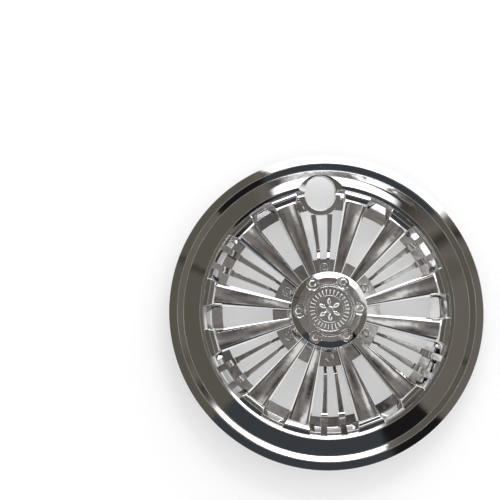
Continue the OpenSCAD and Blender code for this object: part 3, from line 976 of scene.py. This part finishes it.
# %% Put the pieces on the frame
BODY_PIECES = [
    ring, hub, spokes, blocks, cups, corners, ribs, collar, lip, lugs, bolts, fingers, webs,
]
for piece in BODY_PIECES:
    piece.data.materials.clear()
    piece.data.materials.append(chrome_plating)
    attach(piece, "root")
    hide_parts("cover_body")
for piece, material, slot, name in (
    (medallion, chrome_plating, "plated_medallion", "centre_medallion"),
    (wire, spring_steel, "spring_wire", "retention_ring"),
):
    piece.data.materials.clear()
    piece.data.materials.append(material)
    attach(piece, "root")
    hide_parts(name)

# %% [markdown]
# ## The floor
#
# The floor is white paper. It gives off a little light of its own to the camera and to the
# mirror, so that it stays pale under the cover while the cover's soft shadow remains.

# %% White paper
FLOOR_R = 3  # metres
GLOW = 0.3  # the share of the paper's own light


def white_paper(name):
    """Matt paper with a share of even light of its own, for the camera and the mirror alone."""
    material, tree = new_material(name)
    paper = node(tree, "ShaderNodeBsdfDiffuse", Color=linear("ffffff"))
    light = node(tree, "ShaderNodeEmission", Strength=1.0)
    rays = node(tree, "ShaderNodeLightPath").outputs
    seen = node(
        tree, "ShaderNodeMath", {0: rays["Is Camera Ray"], 1: rays["Is Glossy Ray"]},
        operation="MAXIMUM",
    )
    share = node(
        tree, "ShaderNodeMath", {0: seen.outputs["Value"], 1: GLOW}, operation="MULTIPLY"
    )
    mix = node(tree, "ShaderNodeMixShader", {
        0: share.outputs["Value"], 1: paper.outputs["BSDF"], 2: light.outputs["Emission"],
    })
    node(tree, "ShaderNodeOutputMaterial", {"Surface": mix.outputs["Shader"]})
    return material


bpy.ops.object.select_all(action="DESELECT")
bpy.ops.mesh.primitive_circle_add(vertices=96, radius=FLOOR_R, fill_type="NGON")
floor = bpy.context.object
floor.name = "floor"
floor.data.materials.append(white_paper("white paper"))
print("floor radius", FLOOR_R, "m")

# %% [markdown]
# ## The room
#
# Chrome shows its surroundings, so the room is the real subject. The paper runs up to a bright
# horizon all round. Above it the room is drawn by compass angle: warm grey walls with a few
# darker gaps, a blue-grey curtain, and an open doorway, with edges that waver a little. Overhead
# hang soft patches of light. Each slope of the cover looks at one height in this room, so the
# same room gives the ring, the step and the spokes quite different stripes.
#
# A room could be built from real walls. One painted in the world's own nodes is lighter, has no
# corners, and stays the same from wherever it is seen. Heights in it are the sines of angles over
# the horizon, because that is what the z of a direction gives.

# %% Colour ramps and the world
WALL_GREY = "5e5b51"
WOOD = "6c665f"
CURTAIN = "3c4145"
SHADE = "3d3833"
DOORWAY = "1c1b1b"


def stops(ramp, colours, span=360, first=-180):
    """Sets a ramp's stops, given at places from first over a span, such as compass angles."""
    elements = ramp.color_ramp.elements
    while len(elements) < len(colours):
        elements.new(0.5)
    for element, (place, code) in zip(elements, colours):
        element.position = (place - first) / span
    for element, (place, code) in zip(elements, colours):
        element.color = linear(code)
    return ramp


world = bpy.data.worlds.new("studio")
bpy.context.scene.world = world
world.use_nodes = True
tree = world.node_tree
tree.nodes.clear()
sight = node(tree, "ShaderNodeTexCoord").outputs["Generated"]
direction = node(tree, "ShaderNodeSeparateXYZ", {"Vector": sight}).outputs
print("world", world.name)

# %% The walls, by compass angle
WAVER = 0.16  # how far an edge may waver, in radians
FULL_TURN = 2 * math.pi

clutter = node(
    tree, "ShaderNodeTexNoise", {"Vector": sight}, Scale=3.2, Detail=4.0, Roughness=0.55
)
compass = node(
    tree, "ShaderNodeMath", {0: direction["Y"], 1: direction["X"]}, operation="ARCTAN2"
)
bent = node(
    tree, "ShaderNodeMath",
    {0: clutter.outputs["Fac"], 1: WAVER, 2: compass.outputs["Value"]}, operation="MULTIPLY_ADD",
)
turn = node(
    tree, "ShaderNodeMath",
    {0: bent.outputs["Value"], 1: 1 / FULL_TURN, 2: 0.5 - WAVER / 2 / FULL_TURN},
    operation="MULTIPLY_ADD",
)
walls = stops(node(tree, "ShaderNodeValToRGB", {"Fac": turn.outputs["Value"]}), [
    (-180, WALL_GREY), (-141, WALL_GREY), (-138, CURTAIN), (-60, CURTAIN), (-57, DOORWAY),
    (-38, DOORWAY), (-36, WOOD), (14, WOOD), (20, WALL_GREY), (26, WOOD), (31, SHADE),
    (35, WOOD), (49, SHADE), (88, SHADE), (96, WOOD), (98, SHADE), (105, WOOD), (109, WALL_GREY),
    (146, WALL_GREY), (148, SHADE), (151, WALL_GREY), (180, WALL_GREY),
])
print("stops round the walls", len(walls.color_ramp.elements))

# %% The patches of light overhead, and the bright horizon
WALL_LOW, WALL_FULL = 0.27, 0.31
CEILING_LOW, CEILING_FULL = 0.82, 0.90

patches = node(
    tree, "ShaderNodeTexNoise", {"Vector": sight}, Scale=15.0, Detail=3.0, Roughness=0.5
)
ceiling = stops(node(tree, "ShaderNodeValToRGB", {"Fac": patches.outputs["Fac"]}), [
    (0.36, "33302e"), (0.44, "67625e"), (0.53, "7f7a76"), (0.59, "a5a29d"), (0.65, "f2f0ec"),
], 1, 0)
overhead = node(
    tree, "ShaderNodeMapRange", {"Value": direction["Z"]}, From_Min=CEILING_LOW,
    From_Max=CEILING_FULL,
)
room = node(tree, "ShaderNodeMixRGB", {
    "Fac": overhead.outputs["Result"], "Color1": walls.outputs["Color"],
    "Color2": ceiling.outputs["Color"],
})
risen = node(
    tree, "ShaderNodeMapRange", {"Value": direction["Z"]}, From_Min=WALL_LOW, From_Max=WALL_FULL
)
surroundings = node(tree, "ShaderNodeMixRGB", {
    "Fac": risen.outputs["Result"], "Color1": linear("ffffff"), "Color2": room.outputs["Color"],
})
for title, height in ("walls", WALL_FULL), ("ceiling", CEILING_FULL):
    print(title, "from", round(math.degrees(math.asin(height))), "degrees up")

# %% [markdown]
# The mirror sees the painted room. The camera sees plain white behind the cover, and matt
# surfaces are lit by an even pale light, because the dark walls would turn the paper grey.

# %% What the camera, the mirror and the paper see
FILL = 0.84  # strength of the even light

mirrored = node(
    tree, "ShaderNodeBackground", {"Color": surroundings.outputs["Color"]}, Strength=1.0
)
white = node(tree, "ShaderNodeBackground", Color=linear("ffffff"), Strength=1.0)
rays = node(tree, "ShaderNodeLightPath").outputs
seen = node(tree, "ShaderNodeMixShader", {
    0: rays["Is Camera Ray"], 1: mirrored.outputs["Background"], 2: white.outputs["Background"],
})
fill = node(tree, "ShaderNodeBackground", Color=linear("ffffff"), Strength=FILL)
lit = node(tree, "ShaderNodeMixShader", {
    0: rays["Is Diffuse Ray"], 1: seen.outputs["Shader"], 2: fill.outputs["Background"],
})
node(tree, "ShaderNodeOutputWorld", {"Surface": lit.outputs["Shader"]})
print("world nodes", len(tree.nodes))

# %% [markdown]
# ## Softboxes
#
# Two white softboxes stand beyond the top of the wheel, a little to the right: a low wide one for
# the steep faces, and an oval one that reaches higher, for the band. The cloth of a softbox is
# brightest in front of its lamp and fades towards its edges. The shader of each lamp measures how
# far a point lies from the middle and lets the light fade near the rim: across and up for the
# oval one, but only across for the wide one, whose top edge stays crisp.


# %% Softboxes
def softbox(name, bearing, distance, width, low, height, power, shape, fades, rim):
    """An upright soft lamp at a compass angle, low metres over the floor, that faces the wheel.
    It fades across (1, 0, 0) or both ways (1, 1, 0), over a rim that is a share of its half."""
    bearing = math.radians(bearing)
    bpy.ops.object.light_add(
        type="AREA",
        location=(distance * math.cos(bearing), distance * math.sin(bearing), low + height / 2),
        rotation=(math.radians(-90), 0, bearing - math.radians(90)),
    )
    lamp = bpy.context.object
    lamp.name = name
    lamp.data.shape = shape
    lamp.data.size, lamp.data.size_y = width, height
    lamp.data.energy = power
    lamp.data.use_nodes = True
    tree = lamp.data.node_tree
    tree.nodes.clear()
    cloth = node(tree, "ShaderNodeNewGeometry").outputs["Parametric"]
    offset = node(
        tree, "ShaderNodeVectorMath",
        {0: cloth, 1: [2 * way for way in fades], 2: [-way for way in fades]},
        operation="MULTIPLY_ADD",
    )
    inside = node(
        tree, "ShaderNodeTexGradient", {"Vector": offset.outputs["Vector"]},
        gradient_type="SPHERICAL",
    )
    bright = node(
        tree, "ShaderNodeMapRange", {"Value": inside.outputs["Fac"]}, From_Max=rim,
        interpolation_type="SMOOTHSTEP",
    )
    light = node(tree, "ShaderNodeEmission", {"Strength": bright.outputs["Result"]})
    node(tree, "ShaderNodeOutputLight", {"Surface": light.outputs["Emission"]})
    print(name, width, "by", height, "m")


softbox(
    "wide_softbox", bearing=71, distance=1.5, width=2.15, low=0, height=0.88, power=11.5,
    shape="RECTANGLE", fades=(1, 0, 0), rim=0.25,
)
softbox(
    "oval_softbox", bearing=76, distance=1.52, width=1.6, low=0.9, height=0.92, power=16,
    shape="ELLIPSE", fades=(1, 1, 0), rim=0.3,
)

# %% [markdown]
# ## The camera
#
# The camera looks almost straight down through a long lens, from far away, which keeps the
# circles of the wheel round. It is turned off the wheel's centre, because the wheel lies low and
# to the right in the picture. Its distance follows from the size of one pixel at the wheel.

# %% The camera
LENS, SENSOR, FRAME_PIXELS = 200, 36, 500
WHEEL_X, WHEEL_Y = 327.0, 312.3  # the wheel's centre, in pixels from the top left
PIXEL = 0.0007573  # metres across one pixel at the wheel
TARGET_Z = BACK_Z + 4
azimuth, elevation, roll = math.radians(-47), math.radians(81.9), math.radians(3.3)

camera_data = bpy.data.cameras.new("camera")
camera = bpy.data.objects.new("camera", camera_data)
bpy.context.scene.collection.objects.link(camera)
bpy.context.scene.camera = camera
camera_data.lens, camera_data.sensor_width = LENS, SENSOR
target = Vector((0, 0, TARGET_Z * MM))
distance = PIXEL * FRAME_PIXELS * LENS / SENSOR
away = Vector((
    math.sin(azimuth) * math.cos(elevation), -math.cos(azimuth) * math.cos(elevation),
    math.sin(elevation),
))
forward = -away
top_hint = Vector((math.sin(roll), math.cos(roll), 0))
right = forward.cross(top_hint).normalized()
upward = right.cross(forward).normalized()
facing = Matrix((right, upward, away)).transposed()

# %% Turn the camera off the wheel's centre
middle = FRAME_PIXELS / 2
offset = Vector((WHEEL_X - middle, middle - WHEEL_Y)) / FRAME_PIXELS * SENSOR / LENS
ray = Vector((offset.x, offset.y, -1)).normalized()
aim = Vector((0, 0, -1)).rotation_difference(ray).to_matrix()
facing = facing @ aim.transposed()
camera.matrix_world = Matrix.Translation(target + away * distance) @ facing.to_4x4()
print("camera", distance, "m away")

# %% [markdown]
# ## Last settings
#
# The plain view transform shows a colour as it is written.

# %% View settings
bpy.context.scene.view_settings.view_transform = "Standard"
